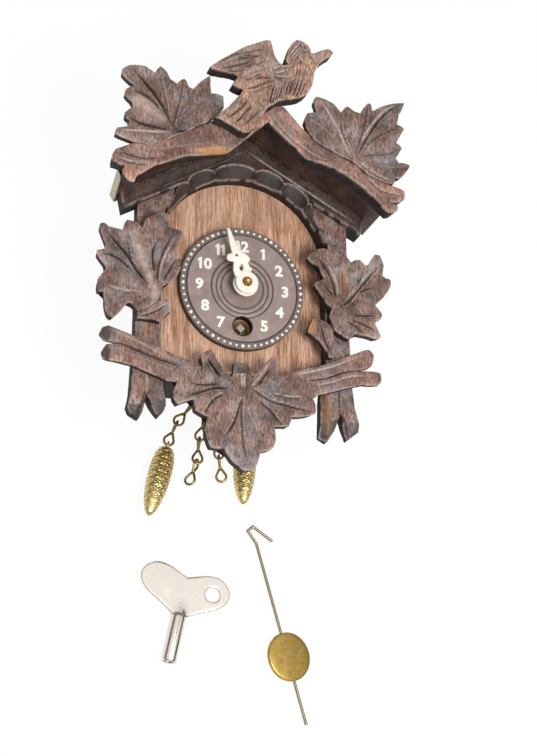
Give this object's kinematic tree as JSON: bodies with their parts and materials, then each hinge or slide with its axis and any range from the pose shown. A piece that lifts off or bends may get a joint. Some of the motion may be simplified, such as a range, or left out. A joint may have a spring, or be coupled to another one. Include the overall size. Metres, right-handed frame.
{
  "type": "black forest clock",
  "caption": "Miniature carved wall clock with gabled roof, bird and leaf carvings, key-wound movement, decorative chains with cones, key and pendulum",
  "frame": {"origin": "middle of the case's back face, on the axis of the hands", "axes": "+X towards three o'clock, +Y towards the roof, +Z out of the dial; the clock lies on its back"},
  "size_m": [0.0989, 0.2105, 0.0695],
  "materials": {
    "carved_wood": "dark walnut stain, worn edges",
    "plywood": "thin stain on plywood",
    "case_wood": "dark stain",
    "cover_wood": "raw plywood",
    "dial_plastic": "moulded brown",
    "hand_plastic": "ivory",
    "movement_brass": "satin",
    "movement_steel": "satin",
    "chain_bronze": "dark antique",
    "cone_brass": "cast, gilt",
    "key_nickel": "worn nickel",
    "rod_steel": "bright wire",
    "bob_brass": "pressed, polished"
  },
  "bodies": {
    "root": {"front_board": "plywood", "left_side": "case_wood", "right_side": "case_wood", "bottom_board": "case_wood", "case_roof": "case_wood", "back_cover": "cover_wood", "cover_screws": "movement_steel", "left_roof": "carved_wood", "right_roof": "carved_wood", "fascia": "carved_wood", "left_post": "carved_wood", "right_post": "carved_wood", "left_leaf": "carved_wood", "right_leaf": "carved_wood", "lower_carving": "carved_wood", "crest_carving": "carved_wood", "bird": "carved_wood", "dial": "dial_plastic", "movement_front_plate": "movement_brass", "movement_back_plate": "movement_brass", "pillars": "movement_brass", "pillar_nuts": "movement_steel", "mainspring": "movement_steel", "verge_cock": "movement_brass", "minute_stud": "movement_steel", "movement_screws": "movement_steel", "chain_eyes": "chain_bronze"},
    "winding": {"winding_arbor": "movement_steel", "ratchet_wheel": "movement_steel"},
    "great": {"great_wheel": "movement_brass", "click_spring": "movement_steel"},
    "click": {"click": "movement_steel"},
    "centre": {"centre_arbor": "movement_steel", "centre_wheel": "movement_brass"},
    "third": {"third_arbor": "movement_steel", "third_wheel": "movement_brass"},
    "fourth": {"fourth_arbor": "movement_steel", "fourth_wheel": "movement_brass"},
    "escape": {"escape_arbor": "movement_steel", "escape_wheel": "movement_brass"},
    "verge": {"verge": "movement_steel", "leader": "movement_steel"},
    "minute": {"cannon_pinion": "movement_steel", "minute_hand": "hand_plastic", "hand_nut": "movement_brass"},
    "minute_work": {"minute_wheel": "movement_brass"},
    "hour": {"hour_wheel": "movement_brass", "hour_hand": "hand_plastic"},
    "left_strand": {"chain_left": "chain_bronze"},
    "left_weight": {"cone_left": "cone_brass"},
    "left_free_strand": {"chain_left_free": "chain_bronze"},
    "right_free_strand": {"chain_right_free": "chain_bronze"},
    "right_strand": {"chain_right": "chain_bronze"},
    "right_weight": {"cone_right": "cone_brass"},
    "key": {"key_stem": "key_nickel", "key_bow": "key_nickel"},
    "pendulum": {"pendulum_rod": "rod_steel"},
    "bob": {"pendulum_bob": "bob_brass", "bob_clip": "movement_steel"}
  },
  "joints": [
    {"name": "wind", "type": "hinge", "parent": "root", "child": "winding", "pos_m": [0, -0.0132, 0], "axis": [0, 0, 1], "range_deg": [-2160, 0]},
    {"name": "great_spin", "type": "hinge", "parent": "root", "child": "great", "pos_m": [0, -0.0132, 0], "axis": [0, 0, 1], "continuous": true},
    {"name": "click_pivot", "type": "hinge", "parent": "great", "child": "click", "pos_m": [-0.0058, -0.0159, 0], "axis": [0, 0, 1], "range_deg": [-4, 0], "stiffness_Nm_per_rad": 0.00001, "springref_deg": -4.01},
    {"name": "centre_spin", "type": "hinge", "parent": "root", "child": "centre", "pos_m": [0, 0, 0], "axis": [0, 0, 1], "continuous": true},
    {"name": "third_spin", "type": "hinge", "parent": "root", "child": "third", "pos_m": [0.00901, 0.00479, 0], "axis": [0, 0, 1], "continuous": true},
    {"name": "train_spin", "type": "hinge", "parent": "root", "child": "fourth", "pos_m": [0.00461, 0.0126, 0], "axis": [0, 0, 1], "continuous": true},
    {"name": "escape_spin", "type": "hinge", "parent": "root", "child": "escape", "pos_m": [0, 0.015, 0], "axis": [0, 0, 1], "continuous": true},
    {"name": "verge_swing", "type": "hinge", "parent": "root", "child": "verge", "pos_m": [0, 0.0208, 0], "axis": [0, 0, 1], "range_deg": [-4, 4]},
    {"name": "minute_turn", "type": "hinge", "parent": "root", "child": "minute", "pos_m": [0, 0, 0], "axis": [0, 0, 1], "continuous": true},
    {"name": "minute_wheel_turn", "type": "hinge", "parent": "root", "child": "minute_work", "pos_m": [0, 0.0064, 0], "axis": [0, 0, 1], "continuous": true},
    {"name": "hour_turn", "type": "hinge", "parent": "root", "child": "hour", "pos_m": [0, 0, 0], "axis": [0, 0, 1], "continuous": true},
    {"name": "left_chain_swing", "type": "hinge", "parent": "root", "child": "left_strand", "pos_m": [-0.0079, -0.0303, 0.005], "axis": [0, 0, 1], "range_deg": [-12, 6]},
    {"name": "left_weight_swing", "type": "hinge", "parent": "left_strand", "child": "left_weight", "pos_m": [-0.01604, -0.0436, 0.00284], "axis": [0, 0, 1], "range_deg": [-20, 15]},
    {"name": "left_free_chain_swing", "type": "hinge", "parent": "root", "child": "left_free_strand", "pos_m": [-0.0038, -0.0336, 0.005], "axis": [0, 0, 1], "range_deg": [-8, 10]},
    {"name": "right_free_chain_swing", "type": "hinge", "parent": "root", "child": "right_free_strand", "pos_m": [0.0038, -0.0316, 0.005], "axis": [0, 0, 1], "range_deg": [-10, 1]},
    {"name": "right_chain_swing", "type": "hinge", "parent": "root", "child": "right_strand", "pos_m": [0.0083, -0.0303, 0.005], "axis": [0, 0, 1], "range_deg": [-1, 10]},
    {"name": "right_weight_swing", "type": "hinge", "parent": "right_strand", "child": "right_weight", "pos_m": [0.01108, -0.03754, 0.00295], "axis": [0, 0, 1], "range_deg": [-1, 15]},
    {"name": "key_lift", "type": "slide", "parent": "root", "child": "key", "axis": [0, 0, 1], "range_m": [0, 0.06]},
    {"name": "pendulum_lift", "type": "slide", "parent": "root", "child": "pendulum", "axis": [0, 0, 1], "range_m": [0, 0.06]},
    {"name": "bob_slide", "type": "slide", "parent": "pendulum", "child": "bob", "axis": [0.2672, -0.9636, 0], "range_m": [-0.02, 0.018]}
  ],
  "couplings": [
    {"joint": "great_spin", "follows": "train_spin", "ratio": -0.0039683},
    {"joint": "centre_spin", "follows": "train_spin", "ratio": 0.019048},
    {"joint": "third_spin", "follows": "train_spin", "ratio": -0.14286},
    {"joint": "escape_spin", "follows": "train_spin", "ratio": -4},
    {"joint": "minute_wheel_turn", "follows": "minute_turn", "ratio": -0.33333},
    {"joint": "hour_turn", "follows": "minute_turn", "ratio": 0.083333}
  ]
}
